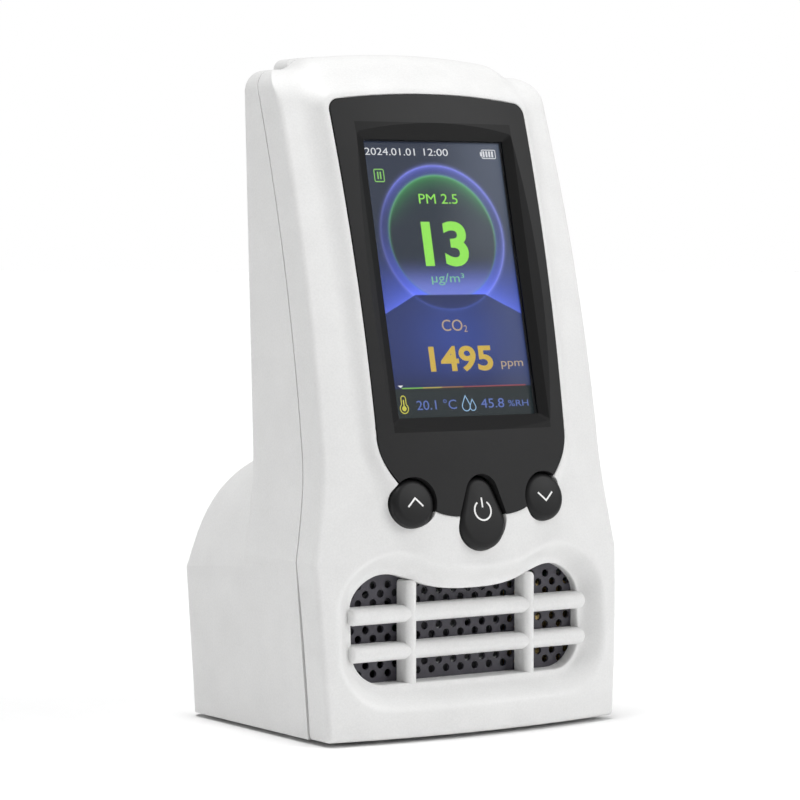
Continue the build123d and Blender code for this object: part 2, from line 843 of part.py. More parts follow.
co2_board = box((co2_x - 10, co2_board_y, floor_z), (co2_x + 10, co2_board_y + 1.2, floor_z + 33))
finish(co2_board, "co2_board")
with BuildPart() as co2_chamber:
    with BuildSketch(front_plane.offset(-co2_board_y)):
        with Locations((co2_x, floor_z + 17)):
            RectangleRounded(18.0, 28.0, 3.0)
    extrude(amount=8.5)
    fillet(co2_chamber.faces().sort_by(Axis.Y)[0].edges(), 1.0)
    with BuildSketch(front_plane.offset(-co2_board_y + 8.5)):
        with Locations((co2_x, floor_z + 10), (co2_x, floor_z + 24)):
            SlotOverall(12.0, 3.0)
    extrude(amount=-0.8, mode=Mode.SUBTRACT)
finish(co2_chamber.part, "co2_chamber")

climate_board = box((36.6, 6.0, 10.0), (37.4, 20.0, 26.0))
finish(climate_board, "climate_board")
with BuildPart() as climate_sensor:
    with BuildSketch(Plane(origin=(37.4, 13.0, 18.0), x_dir=(0, 1, 0), z_dir=(1, 0, 0))):
        RectangleRounded(5.0, 5.0, 0.4)
        Circle(0.8, mode=Mode.SUBTRACT)
    extrude(amount=1.2)
finish(climate_sensor.part, "climate_sensor")

# ---------------------------------------------------------------- battery and charging
cell_plane = Plane(origin=(0, cell_y, cell_z), x_dir=(0, 1, 0), z_dir=(1, 0, 0))
with BuildPart() as battery_cell:
    with BuildSketch(cell_plane.offset(-cell_length / 2)):
        Circle(cell_radius)
    extrude(amount=cell_length)
    fillet(battery_cell.edges(), 0.8)
finish(battery_cell.part, "battery_cell")

cradle_low = (-35.2, cell_y - 10.6, floor_z)
cradle_high = (35.2, cell_y + 10.6, cell_z - 2.0)
battery_cradle = box(cradle_low, cradle_high)
with BuildPart() as cradle_trough:
    with BuildSketch(cell_plane.offset(-cell_length / 2 - 0.8)):
        Circle(cell_radius + 0.15)
    extrude(amount=cell_length + 1.6)
battery_cradle -= cradle_trough.part
finish(battery_cradle, "battery_cradle")

with BuildPart() as battery_strap:
    with BuildSketch(cell_plane.offset(-4)):
        Circle(cell_radius + 0.7)
        Circle(cell_radius + 0.1, mode=Mode.SUBTRACT)
        with Locations((0, -12.0)):
            Rectangle(30, 20.2, mode=Mode.SUBTRACT)
    extrude(amount=8)
finish(battery_strap.part, "battery_strap")

usb_front = rear_y - 5.8
charge_top = usb_z - usb_height / 2
charge_board = box((-12.0, cell_y + 11.4, charge_top - 1.2), (12.0, rear_y - 3.0, charge_top))
finish(charge_board, "charge_board")
with BuildPart() as usb_socket:
    with BuildSketch(front_plane.offset(-usb_front)):
        with Locations((0, usb_z)):
            RectangleRounded(usb_width, usb_height, 0.6)
    extrude(amount=-(rear_y - 0.2 - usb_front))
    with BuildSketch(front_plane.offset(-(rear_y - 0.2))):
        with Locations((0, usb_z)):
            RectangleRounded(usb_width - 0.6, usb_height - 0.6, 0.4)
            Rectangle(3.8, 0.5, mode=Mode.SUBTRACT)
    extrude(amount=5.0, mode=Mode.SUBTRACT)
finish(usb_socket.part, "usb_socket")
charge_chip = box((-9.0, cell_y + 12.5, charge_top), (-5.5, cell_y + 16.5, charge_top + 1.2))
finish(charge_chip, "charge_chip")


def board_point(x, v, level):
    """A point in the case, from a place and level on the main board."""
    return display_plane.from_local_coords(Vector(x, v, level - board_gap))


def lead(points, radius, bends):
    """A round wire along straight runs joined by arcs."""
    with BuildPart() as wire:
        with BuildLine() as path:
            FilletPolyline(*points, radius=bends)
        with BuildSketch(Plane(origin=path.line @ 0, z_dir=path.line % 0)):
            Circle(radius)
        sweep()
    return wire.part


connector_back = -board_thickness - 4.5
battery_wires = []
for shift in (-1.2, 1.2):
    socket = board_point(lead_x + shift, lead_v, connector_back)
    battery_wires.append(
        lead(
            [
                socket,
                board_point(lead_x + shift, lead_v, connector_back - 5),
                (lead_x + shift, 10.0, cell_z + 26),
                (lead_x + shift, cell_y, cell_z + cell_radius + 4),
                (lead_x + shift, cell_y, cell_z + cell_radius + 0.2),
            ],
            0.7,
            2.0,
        )
    )
finish(Compound(children=battery_wires), "battery_leads")

sensor_wires = []
for shift in (-2.4, -0.8, 0.8, 2.4):
    socket = board_point(sensor_x + shift, lead_v, connector_back)
    sensor_wires.append(
        lead(
            [
                socket,
                board_point(sensor_x + shift, lead_v, connector_back - 4),
                (sensor_x + shift, 1.4, 53),
                (-24.5 + shift, 1.4, 46),
                (-24.5 + shift, 1.4, 38.5),
            ],
            0.5,
            1.6,
        )
    )
finish(Compound(children=sensor_wires), "sensor_leads")

# ---------------------------------------------------------------- case screws
seat = 3.0
screw_heads = case_screw_tool(2.0, lambda z: parting_y(z) + seat, lambda z: parting_y(z) + seat + 1.6)
screw_shanks = case_screw_tool(1.05, lambda z: parting_y(z) - 6.5, lambda z: parting_y(z) + seat)
screw_sockets = case_screw_tool(0.8, lambda z: parting_y(z) + seat + 0.7, lambda z: parting_y(z) + seat + 2)
finish(screw_heads + screw_shanks - screw_sockets, "case_screws")
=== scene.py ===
"""Looks for the desktop air quality monitor: a moulded front, domed keys, a lit display and procedural
materials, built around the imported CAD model.  Lengths in the shape code are millimetres."""

import json
import math

import bmesh
import bpy
import numpy as np
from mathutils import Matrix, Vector
from mathutils.geometry import delaunay_2d_cdt
from mathutils.kdtree import KDTree


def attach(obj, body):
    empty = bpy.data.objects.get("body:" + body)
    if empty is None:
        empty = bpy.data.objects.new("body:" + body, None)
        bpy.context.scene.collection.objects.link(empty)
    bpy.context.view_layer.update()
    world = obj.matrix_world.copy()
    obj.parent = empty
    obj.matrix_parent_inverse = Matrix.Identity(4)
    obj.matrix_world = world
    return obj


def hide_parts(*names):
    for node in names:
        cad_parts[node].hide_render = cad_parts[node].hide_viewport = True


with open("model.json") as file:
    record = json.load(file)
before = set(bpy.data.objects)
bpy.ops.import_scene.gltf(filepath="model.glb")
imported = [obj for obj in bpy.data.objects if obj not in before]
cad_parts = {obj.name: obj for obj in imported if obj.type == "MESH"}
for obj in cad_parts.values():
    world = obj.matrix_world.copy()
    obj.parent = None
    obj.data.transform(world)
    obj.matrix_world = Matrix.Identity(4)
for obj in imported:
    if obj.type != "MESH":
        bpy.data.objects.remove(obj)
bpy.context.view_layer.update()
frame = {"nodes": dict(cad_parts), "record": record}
nodes = frame["nodes"]
for imported in list(bpy.data.materials):
    bpy.data.materials.remove(imported)
MM = 0.001

# ---------------------------------------------------------------- shape of the case, as the CAD has it
CROWN = 195.0
AXIS_Y = -32.4 + CROWN
FLANGE_TOP = 158.6
CASE_TOP = 163.0
FLANGE_DEPTH = 8.7
HEAD = 39.3
CREASE = (44.2, 42.8)
DISPLAY_LEAN = math.radians(13.1)
DISPLAY_Y, DISPLAY_Z = -18.2, 108.5
KEY_X, KEY_Z, KEY_R, KEY_GAP = 18.9, 55.9, 5.8, 0.3
EGG = ((50.7, 6.6), (57.1, 4.4))
MESH_Y = -23.5
# Bounds of the box that the bezel's material fills with painted shade, around the display's recess.
RECESS_HALF, RECESS_LOW, RECESS_TOP = 22.7, 72.6, 146.0
KEY_PROUD, KEY_EDGE_DROP, KEY_CROWN, MARK_PROUD = 1.8, 0.28, 0.26, 0.03
PICTURE_LEVEL, MARK_LEVEL = 0.03, 0.09
CAP_HEIGHT = 0.729
BAR_FACE_Y = -28.7
BAR_BACK_Y = BAR_FACE_Y + 4.9
BAR_X, BAR_HALF_WIDTH = 17.2, 1.45
BAR_Z, BAR_HALF_HEIGHT = (20.9, 29.7), 2.05


def arc_y(z, y0, z0, lean, radius):
    """Depth of a side-view arc through (y0, z0) that leans back by lean degrees there."""
    cy = y0 + radius * math.cos(math.radians(lean))
    cz = z0 - radius * math.sin(math.radians(lean))
    return cy - np.sqrt(np.maximum(radius**2 - (z - cz) ** 2, 0))


def circle_through(a, b, c):
    """Centre and radius of the circle through three points."""
    (ax, ay), (bx, by), (cx, cy) = a, b, c
    d = 2 * (ax * (by - cy) + bx * (cy - ay) + cx * (ay - by))
    a2, b2, c2 = ax * ax + ay * ay, bx * bx + by * by, cx * cx + cy * cy
    ux = (a2 * (by - cy) + b2 * (cy - ay) + c2 * (ay - by)) / d
    uy = (a2 * (cx - bx) + b2 * (ax - cx) + c2 * (bx - ax)) / d
    return ux, uy, math.hypot(ax - ux, ay - uy)


FOOT_ARC = circle_through((-34.25, 1.0), (-33.8, 21.9), (-32.4, 42.8))


def case_front(z):
    cy, cz, r = FOOT_ARC
    foot = cy - np.sqrt(np.maximum(r * r - (z - cz) ** 2, 0))
    return np.where(z < CREASE[1], foot, arc_y(z, -32.4, 42.8, 5.1, 437.0))


def panel_front(z):
    return arc_y(z, -23.9, 105.5, 12.75, 509.0)


def crowned(y, x):
    """A centre-line depth carried sideways round the crown axis."""
    return AXIS_Y - np.sqrt((AXIS_Y - y) ** 2 - x * x)


def parting_y(z):
    edge = CROWN - math.sqrt(CROWN**2 - HEAD**2)
    return case_front(np.asarray(z, float)) + edge + FLANGE_DEPTH


def smooth(t):
    t = np.clip(t, 0, 1)
    return t * t * (3 - 2 * t)


def top_z(x):
    """Height of the top edge: the arch of the raised centre, an S step, then the flange."""
    arch = CASE_TOP - 1.7 * (np.abs(x) / 28.3) ** 2
    down = smooth((np.abs(x) - 25.6) / 7.2)
    return arch + (FLANGE_TOP - arch) * down


def clamped_spline(points, start, end, step=0.7):
    """Cubic curve through points, with chord-length parameters and unit tangents at both ends."""
    p = np.array(points, float)
    t = np.concatenate([[0], np.cumsum(np.linalg.norm(np.diff(p, axis=0), axis=1))])
    h = np.diff(t)
    n = len(p)
    a, b = np.eye(n), np.zeros((n, 2))
    b[0] = np.array(start) / np.linalg.norm(start)
    b[-1] = np.array(end) / np.linalg.norm(end)
    for i in range(1, n - 1):
        a[i, i - 1], a[i, i], a[i, i + 1] = h[i], 2 * (h[i - 1] + h[i]), h[i - 1]
        before, after = (p[i] - p[i - 1]) / h[i - 1], (p[i + 1] - p[i]) / h[i]
        b[i] = 3 * (h[i] * before + h[i - 1] * after)
    m = np.linalg.solve(a, b)
    out = []
    for i in range(n - 1):
        for s in np.linspace(0, 1, max(2, int(h[i] / step)), endpoint=False):
            out.append(
                (2 * s**3 - 3 * s**2 + 1) * p[i]
                + (s**3 - 2 * s**2 + s) * h[i] * m[i]
                + (3 * s**2 - 2 * s**3) * p[i + 1]
                + (s**3 - s**2) * h[i] * m[i + 1]
            )
    return [tuple(q) for q in out] + [tuple(p[-1])]


def straight(a, b, step=0.8):
    n = max(1, int(math.dist(a, b) / step))
    return [(a[0] + (b[0] - a[0]) * i / n, a[1] + (b[1] - a[1]) * i / n) for i in range(n + 1)]


def arc(centre, radius, start, end, step=0.35):
    n = max(3, int(abs(math.radians(end - start)) * radius / step))
    angles = [math.radians(start + (end - start) * i / n) for i in range(n + 1)]
    return [(centre[0] + radius * math.cos(t), centre[1] + radius * math.sin(t)) for t in angles]


def closed(right_half):
    """A loop from its right half, listed from the bottom middle to the top middle."""
    left = [(-x, z) for x, z in reversed(right_half)]
    loop = []
    for p in right_half + left:
        if not loop or math.dist(loop[-1], p) > 0.02:
            loop.append(p)
    while math.dist(loop[-1], loop[0]) < 0.02:
        loop.pop()
    return loop


def case_outline():
    foot = math.atan2(CREASE[0] - 41.7, CREASE[1] - 1.0)
    half = straight((0, 1.0), (40.7, 1.0))
    half += arc((40.7, 2.0), 1.0, -90, 0)
    half += straight((41.7 + math.tan(foot), 2.2), (CREASE[0] - 0.02, CREASE[1] - 0.4))
    half += [(CREASE[0] - 0.03, CREASE[1])]
    flare = [(42.2, 53.2), (40.6, 68.0)]
    half += clamped_spline([(CREASE[0] - 0.11, CREASE[1] + 0.35)] + flare, (-0.2, 0.98), (-0.015, 1))
    half += straight((40.6, 68.0), (HEAD, FLANGE_TOP - 5.2))
    half += arc((HEAD - 5.2, FLANGE_TOP - 5.2), 5.2, 0, 90)
    xs = np.linspace(HEAD - 5.2, 0, 60)
    half += [(float(x), float(top_z(x))) for x in xs]
    return closed(half)


def panel_outline(grow):
    half = clamped_spline(
        [(0, 52.4 - grow), (14.1 + 0.4 * grow, 54.5 - grow)]
        + [(24.5 + 0.8 * grow, 63.7 - 0.6 * grow), (27.1 + grow, 71.0)],
        (1, 0),
        (0.05, 1),
    )
    top, arch = 152.8 + grow, 1.9
    corner = 2.8 + 0.5 * grow
    wide = 28.3 + grow
    chord = circle_through((-wide, top - arch), (0, top), (wide, top - arch))
    side_lean = 1.2 / 80.0
    centre_x = wide - corner
    reach = chord[2] - corner
    centre_z = chord[1] + math.sqrt(reach**2 - centre_x**2)
    half += straight((27.1 + grow, 71.0), (wide - side_lean * 2, centre_z))
    slope = math.degrees(math.atan2(centre_z - chord[1], centre_x))
    half += arc((centre_x, centre_z), corner, 0, slope)
    last = half[-1]
    for x in np.linspace(last[0], 0, 40):
        half.append((float(x), chord[1] + math.sqrt(chord[2] ** 2 - x * x)))
    return closed(half)


def grille_outline(grow=0.0):
    low = 13.4 - grow
    half = straight((0, low), (25.0, low))
    chord = circle_through((25.0, low), (30.8 + 0.72 * grow, 15.9 - 0.72 * grow), (33.0 + grow, 22.0))
    a0 = math.degrees(math.atan2(low - chord[1], 25.0 - chord[0]))
    a1 = math.degrees(math.atan2(22.0 - chord[1], 33.0 + grow - chord[0]))
    half += arc(chord[:2], chord[2], a0, a1)
    half += straight((33.0 + grow, 22.0), (33.0 + grow, 31.5))
    half += clamped_spline(
        [(33.0 + grow, 31.5), (26.2 + 0.3 * grow, 38.9 + grow), (13.5, 36.4 + grow), (0, 34.9 + grow)],
        (0, 1),
        (-1, 0),
        0.5,
    )
    return closed(half)


def egg_loop(grow, count=96):
    """The middle key's outline on the display's plane."""
    (z_low, r_low), (z_high, r_high) = EGG
    v_low, v_high = ((z - DISPLAY_Z) / math.cos(DISPLAY_LEAN) for z in (z_low, z_high))
    turn = math.asin((r_low - r_high) / (v_high - v_low))
    loop = []
    for i in range(count):
        t = 2 * math.pi * i / count
        v, r = (v_high, r_high) if math.sin(t) > math.sin(turn) else (v_low, r_low)
        loop.append(((r + grow) * math.cos(t), v + (r + grow) * math.sin(t)))
    return loop


def round_loop(x, grow, count=80):
    v = (KEY_Z - DISPLAY_Z) / math.cos(DISPLAY_LEAN)
    turns = [2 * math.pi * i / count for i in range(count)]
    return [(x + (KEY_R + grow) * math.cos(t), v + (KEY_R + grow) * math.sin(t)) for t in turns]


def on_plane(u, v, level=0.0):
    """The point at (u, v) on the display's plane and at a level in front of it."""
    c, s = math.cos(DISPLAY_LEAN), math.sin(DISPLAY_LEAN)
    return (u, DISPLAY_Y + v * s - level * c, DISPLAY_Z + v * c + level * s)


def front_view(loop, level):
    return [on_plane(u, v, level)[::2] for u, v in loop]


# ---------------------------------------------------------------- plane geometry on many points
def inside(points, loop):
    p, a = np.asarray(points, float), np.asarray(loop, float)
    b = np.roll(a, -1, axis=0)
    found = np.zeros(len(p), bool)
    for (x1, z1), (x2, z2) in zip(a, b):
        if z1 == z2:
            continue
        cross = (z1 > p[:, 1]) != (z2 > p[:, 1])
        found ^= cross & (p[:, 0] < (x2 - x1) * (p[:, 1] - z1) / (z2 - z1) + x1)
    return found


def outside_distance(points, loop):
    """Distance from the loop, above zero outside it."""
    p, a = np.asarray(points, float), np.asarray(loop, float)
    b = np.roll(a, -1, axis=0)
    best = np.full(len(p), 1e9)
    for start, end in zip(a, b):
        d = end - start
        t = np.clip(((p - start) @ d) / max(d @ d, 1e-12), 0, 1)
        best = np.minimum(best, np.hypot(*(p - start - t[:, None] * d).T))
    return np.where(inside(p, loop), -best, best)


def inset(loop, distance):
    """A loop moved inwards, or outwards for a distance below zero."""
    a = np.asarray(loop, float)
    along = np.roll(a, -1, axis=0) - np.roll(a, 1, axis=0)
    normal = np.stack([-along[:, 1], along[:, 0]], axis=1)
    normal /= np.linalg.norm(normal, axis=1)[:, None]
    area = np.sum(a[:, 0] * np.roll(a[:, 1], -1) - np.roll(a[:, 0], -1) * a[:, 1])
    return a + normal * distance * np.sign(area)


# ---------------------------------------------------------------- the front
CASE = case_outline()
POCKET = panel_outline(0.12)
RAISED = panel_outline(1.35)
GRILLE = grille_outline()
DISH_WIDTH, DISH_DEPTH = 5.8, 4.6
EDGE_R = 1.3


def front_y(points):
    """Depth of the moulded front at places in the front view."""
    p = np.asarray(points, float)
    x, z = p[:, 0], p[:, 1]
    base = crowned(case_front(z), x)
    panel = crowned(panel_front(z), x)
    s = outside_distance(p, RAISED)
    s = 0.5 * (s + np.sqrt(s * s + 0.3))
    width = np.interp(z, [48, 58, 66, 84, 140], [9.0, 5.0, 3.0, 3.4, 5.2])
    raised = np.clip(1 - s / width, 0, 1) ** 2.1
    y = base + np.minimum(panel - base, 0) * raised
    drop = np.maximum(top_z(x) - z, 0)
    radius = 8.0 + raised
    y += radius - np.sqrt(radius**2 - np.clip(radius - drop, 0, radius) ** 2)
    edge = np.maximum(-outside_distance(p, CASE), 0)
    fade = 1 - smooth((z - 148) / 9)
    y += fade * (EDGE_R - np.sqrt(EDGE_R**2 - np.clip(EDGE_R - edge, 0, EDGE_R) ** 2))
    rim = outside_distance(p, POCKET)
    y += 0.25 - np.sqrt(0.0625 - np.clip(0.25 - np.maximum(rim, 0), 0, 0.25) ** 2)
    g = outside_distance(p, GRILLE)
    y += DISH_DEPTH * (1 - smooth((g - 0.4) / DISH_WIDTH))
    y += 0.5 - np.sqrt(0.25 - np.clip(0.5 - np.maximum(g, 0), 0, 0.5) ** 2)
    return y


def skin_points():
    """Loops that the skin's edges follow, and the free points between them."""
    rings = []
    for share in (0.04, 0.14, 0.3, 0.52, 0.78, 1.0):
        rings.append(inset(CASE, EDGE_R * share))
    for gap in (-1.0, -0.5, -0.15, 0.15, 0.45, 0.8, 1.3):
        rings.append(inset(RAISED, -gap))
    for gap in (0.06, 0.14, 0.25):
        rings.append(inset(POCKET, -gap))
    for gap in (0.06, 0.15, 0.3, 0.5, 0.9):
        rings.append(inset(GRILLE, -gap))
    fixed = np.concatenate([CASE, POCKET, GRILLE] + rings)
    tree = KDTree(len(fixed))
    for i, (x, z) in enumerate(fixed):
        tree.insert((x, z, 0), i)
    tree.balance()
    x, z = np.meshgrid(np.arange(-44.4, 44.4, 0.6), np.arange(1.2, 163, 0.6))
    grid = np.stack([x.ravel(), z.ravel()], axis=1)
    grid = grid[outside_distance(grid, CASE) < -0.35]
    near = np.array([tree.find((a, b, 0))[2] for a, b in grid])
    grid = grid[near > 0.38]
    free = np.concatenate(rings + [grid])
    return free[inside(free, CASE)]


def new_object(name, points, faces, sharp=34.0):
    """A smooth mesh object from points in millimetres."""
    mesh = bpy.data.meshes.new(name)
    mesh.from_pydata([Vector(p) * MM for p in points], [], [list(f) for f in faces])
    bm = bmesh.new()
    bm.from_mesh(mesh)
    bmesh.ops.remove_doubles(bm, verts=bm.verts, dist=2e-6)
    bmesh.ops.dissolve_degenerate(bm, edges=bm.edges, dist=1e-6)
    loose = [v for v in bm.verts if not v.link_faces]
    bmesh.ops.delete(bm, geom=loose, context="VERTS")
    bmesh.ops.recalc_face_normals(bm, faces=bm.faces)
    bm.to_mesh(mesh)
    bm.free()
    mesh.polygons.foreach_set("use_smooth", [True] * len(mesh.polygons))
    mesh.set_sharp_from_angle(angle=math.radians(sharp))
    obj = bpy.data.objects.new(name, mesh)
    bpy.context.scene.collection.objects.link(obj)
    return obj


def front_skin():
    """The front surface, its side walls back to the parting line and the walls of its openings."""
    holes = [POCKET, GRILLE]
    holes.append(front_view(egg_loop(KEY_GAP), 0.0))
    for side in (-1, 1):
        holes.append(front_view(round_loop(side * KEY_X, KEY_GAP), 0.7))
    verts, edges = [], []
    for loop in [CASE] + holes:
        first = len(verts)
        verts += [Vector(p) for p in loop]
        edges += [(first + i, first + (i + 1) % len(loop)) for i in range(len(loop))]
    free = skin_points()
    for loop in holes:
        free = free[outside_distance(free, loop) > 0.05]
    verts += [Vector(p) for p in free]
    flat, _, faces, _, _, _ = delaunay_2d_cdt(verts, edges, [], 1, 1e-5)
    flat = np.array([tuple(v) for v in flat])
    faces = np.array([f for f in faces if len(f) == 3])
    middle = flat[faces].mean(axis=1)
    keep = inside(middle, CASE)
    for loop in holes:
        keep &= ~inside(middle, loop)
    faces = faces[keep]
    y = front_y(flat)
    points = [(x, d, z) for (x, z), d in zip(flat, y)]
    uses = {}
    for f in faces:
        for a, b in ((f[0], f[1]), (f[1], f[2]), (f[2], f[0])):
            key = (min(a, b), max(a, b))
            uses[key] = uses.get(key, 0) + 1
    border = [e for e, n in uses.items() if n == 1]
    rim = np.array(sorted({i for e in border for i in e}))
    to_case = np.abs(outside_distance(flat[rim], CASE))
    to_grille = np.abs(outside_distance(flat[rim], GRILLE))
    c, s = math.cos(DISPLAY_LEAN), math.sin(DISPLAY_LEAN)
    levels = {}
    for i, at_case, at_grille in zip(rim, to_case, to_grille):
        x, d, z = points[i]
        if at_case < 0.02:
            back = float(parting_y(z))
            inward = Vector((x, z)) - Vector((0, min(max(z, 8), 150)))
            inward.normalize()
            chain = [(x, d + (back - 0.25 - d) * k / 4, z) for k in (1, 2, 3)] + [(x, back - 0.3, z)]
            chain.append((x - 0.18 * inward.x, back - 0.1, z - 0.18 * inward.y))
            chain.append((x - 2.2 * inward.x, back - 0.1, z - 2.2 * inward.y))
        elif at_grille < 0.02:
            chain = [(x, d + (MESH_Y - d) * k / 3, z) for k in (1, 2, 3)]
        else:
            chain = [(x, d + 1.2 * c, z - 1.2 * s), (x, d + 2.6 * c, z - 2.6 * s)]
        levels[int(i)] = [int(i)] + list(range(len(points), len(points) + len(chain)))
        points += chain
    faces = [tuple(int(i) for i in f) for f in faces]
    for a, b in border:
        la, lb = levels[int(a)], levels[int(b)]
        for k in range(min(len(la), len(lb)) - 1):
            faces.append((la[k], lb[k], lb[k + 1], la[k + 1]))
    return points, faces


def rod(start, end, half, front, back, axis, points, faces):
    """A bar with a half-round front and rounded ends, along axis 0 (level) or 2 (upright)."""
    section = [(-half, back)]
    for i in range(13):
        t = math.pi * (1 - i / 12)
        section.append((half * math.cos(t), front + half - half * math.sin(t)))
    section.append((half, back))
    stations = [(start, 0.9), (start + 0.1, 0.45), (start + 0.4, 0.15), (start + 0.9, 0.0)]
    n = 24
    stations += [(start + 0.9 + (end - start - 1.8) * i / n, 0.0) for i in range(1, n)]
    stations += [(end - 0.9, 0.0), (end - 0.4, 0.15), (end - 0.1, 0.45), (end, 0.9)]
    first = len(points)
    for along, tight in stations:
        share = (half - tight) / half
        for across, y in section:
            y = front + tight + max(y - front, 0) * (back - front - tight) / (back - front)
            place = [0.0, y, 0.0]
            place[axis] = along
            place[2 - axis] = across * share
            points.append(place)
    m = len(section)
    for i in range(len(stations) - 1):
        for j in range(m):
            a, b = first + i * m + j, first + i * m + (j + 1) % m
            faces.append((a, b, b + m, a + m))
    faces.append(tuple(first + j for j in range(m)))
    faces.append(tuple(first + (len(stations) - 1) * m + j for j in range(m)))
    return first


def grille_bars():
    points, faces = [], []
    for z in BAR_Z:
        first = rod(-33.9, 33.9, BAR_HALF_HEIGHT, BAR_FACE_Y, BAR_BACK_Y, 0, points, faces)
        for p in points[first:]:
            p[2] += z
    for x in (-BAR_X, BAR_X):
        first = rod(12.2, 37.6, BAR_HALF_WIDTH, BAR_FACE_Y - 0.05, BAR_BACK_Y, 2, points, faces)
        for p in points[first:]:
            p[0] += x
    return points, faces


def dome_key(loop_at, top=KEY_PROUD, low=-3.4, rounding=1.7):
    """A rubber key: upright sides, a full rounding and a slightly domed top."""
    steps = [(0.0, low), (0.0, low + 1.6), (0.0, -0.6), (0.0, top - rounding)]
    for i in range(1, 10):
        t = math.radians(90 * i / 9)
        rise = (rounding - KEY_EDGE_DROP) * math.sin(t)
        steps.append((-rounding * (1 - math.cos(t)), top - rounding + rise))
    rings = [(loop_at(grow), level) for grow, level in steps]
    inner, level = rings[-1]
    centre = np.mean(np.array(inner), axis=0)
    for share in (0.85, 0.7, 0.5, 0.3, 0.12):
        ring = [tuple(centre + (np.array(q) - centre) * share) for q in inner]
        rings.append((ring, level + KEY_CROWN * (1 - share * share)))
    points, faces = [], []
    n = len(rings[0][0])
    for ring, level in rings:
        points += [on_plane(u, v, level) for u, v in ring]
    for i in range(len(rings) - 1):
        for j in range(n):
            a, b = i * n + j, i * n + (j + 1) % n
            faces.append((a, b, b + n, a + n))
    faces.append(tuple(range(n)))
    faces.append(tuple((len(rings) - 1) * n + j for j in range(n)))
    return points, faces


# ---------------------------------------------------------------- materials
def tree_of(name):
    """A new node material, its tree, its Principled shader and its object coordinates."""
    mat = bpy.data.materials.new(name)
    mat.use_nodes = True
    tree = mat.node_tree
    coords = tree.nodes.new("ShaderNodeTexCoord").outputs["Object"]
    return mat, tree, tree.nodes["Principled BSDF"], coords


def noise(tree, coords, size_mm, detail=3.0):
    node = tree.nodes.new("ShaderNodeTexNoise")
    node.inputs["Scale"].default_value = 1000.0 / size_mm
    node.inputs["Detail"].default_value = detail
    tree.links.new(coords, node.inputs["Vector"])
    return node.outputs["Fac"]


def mixed(tree, factor, low, high):
    """A colour that runs from low to high with factor."""
    ramp = tree.nodes.new("ShaderNodeValToRGB")
    ramp.color_ramp.elements[0].position = 0.3
    ramp.color_ramp.elements[1].position = 0.7
    ramp.color_ramp.elements[0].color = (*low, 1)
    ramp.color_ramp.elements[1].color = (*high, 1)
    tree.links.new(factor, ramp.inputs["Fac"])
    return ramp.outputs["Color"]


def ranged(tree, value, low, high):
    node = tree.nodes.new("ShaderNodeMapRange")
    node.inputs["To Min"].default_value = low
    node.inputs["To Max"].default_value = high
    tree.links.new(value, node.inputs["Value"])
    return node.outputs["Result"]


def math_node(tree, operation, *values):
    """A Math node fed by numbers or by other nodes' outputs."""
    node = tree.nodes.new("ShaderNodeMath")
    node.operation = operation
    for value, socket in zip(values, node.inputs):
        if isinstance(value, float):
            socket.default_value = value
        else:
            tree.links.new(value, socket)
    return node.outputs[0]


def finish_material(
    name, colour, rough, spread=0.04, grain=0.35, bump=0.15, height=0.02, metal=0.0, **more
):
    """A moulded, printed or machined finish: uneven colour, uneven gloss and a fine grain."""
    mat, tree, shader, coords = tree_of(name)
    broad = noise(tree, coords, 9.0, 2.0)
    fine = noise(tree, coords, grain, 4.0)
    low = tuple(c * (1 - spread) for c in colour)
    high = tuple(min(1.0, c * (1 + spread)) for c in colour)
    mottle = math_node(tree, "MULTIPLY_ADD", fine, 0.6, math_node(tree, "MULTIPLY", broad, 0.4))
    tree.links.new(mixed(tree, mottle, low, high), shader.inputs["Base Color"])
    tree.links.new(ranged(tree, fine, rough * 0.88, min(1.0, rough * 1.12)), shader.inputs["Roughness"])
    shader.inputs["Metallic"].default_value = metal
    for key, value in more.items():
        shader.inputs[key].default_value = value
    node = tree.nodes.new("ShaderNodeBump")
    node.inputs["Strength"].default_value = bump
    node.inputs["Distance"].default_value = height * MM
    tree.links.new(fine, node.inputs["Height"])
    tree.links.new(node.outputs["Normal"], shader.inputs["Normal"])
    return mat


def bezel_material():
    """Matte black moulding with painted shade: a deeper black base colour inside a box around the
    display's recess.
    """
    mat = finish_material("bezel_black", (0.016, 0.016, 0.0165), 0.5, 0.14, 0.28, 0.3, 0.02, **DULL)
    tree, shader = mat.node_tree, mat.node_tree.nodes["Principled BSDF"]
    place = tree.nodes.new("ShaderNodeSeparateXYZ")
    tree.links.new(tree.nodes["Texture Coordinate"].outputs["Object"], place.inputs[0])
    matte = shader.inputs["Base Color"].links[0].from_socket
    # Painted shade: a box mask around the display's recess, where the base colour turns a deeper black.
    across = math_node(tree, "ABSOLUTE", place.outputs["X"])
    painted_shade_box = math_node(tree, "LESS_THAN", across, RECESS_HALF * MM)
    below = math_node(tree, "LESS_THAN", place.outputs["Z"], RECESS_TOP * MM)
    above = math_node(tree, "GREATER_THAN", place.outputs["Z"], RECESS_LOW * MM)
    painted_shade_box = math_node(tree, "MULTIPLY", math_node(tree, "MULTIPLY", painted_shade_box, below), above)
    mix = tree.nodes.new("ShaderNodeMix")
    mix.data_type = "RGBA"
    tree.links.new(painted_shade_box, mix.inputs["Factor"])
    tree.links.new(matte, mix.inputs[6])
    # The painted shade's colour, which replaces the matte black inside the box.
    mix.inputs[7].default_value = (0.003, 0.003, 0.0032, 1)
    tree.links.new(mix.outputs[2], shader.inputs["Base Color"])
    return mat


def glass_material():
    """Thin clear acrylic over the display: mostly let through, with a soft gloss on its face."""
    mat, tree, shader, coords = tree_of("clear_window")
    fine = noise(tree, coords, 30.0, 2.0)
    tone = mixed(tree, fine, (0.02, 0.022, 0.026), (0.03, 0.032, 0.036))
    tree.links.new(tone, shader.inputs["Base Color"])
    tree.links.new(ranged(tree, fine, 0.1, 0.16), shader.inputs["Roughness"])
    shader.inputs["Alpha"].default_value = 0.05
    return mat


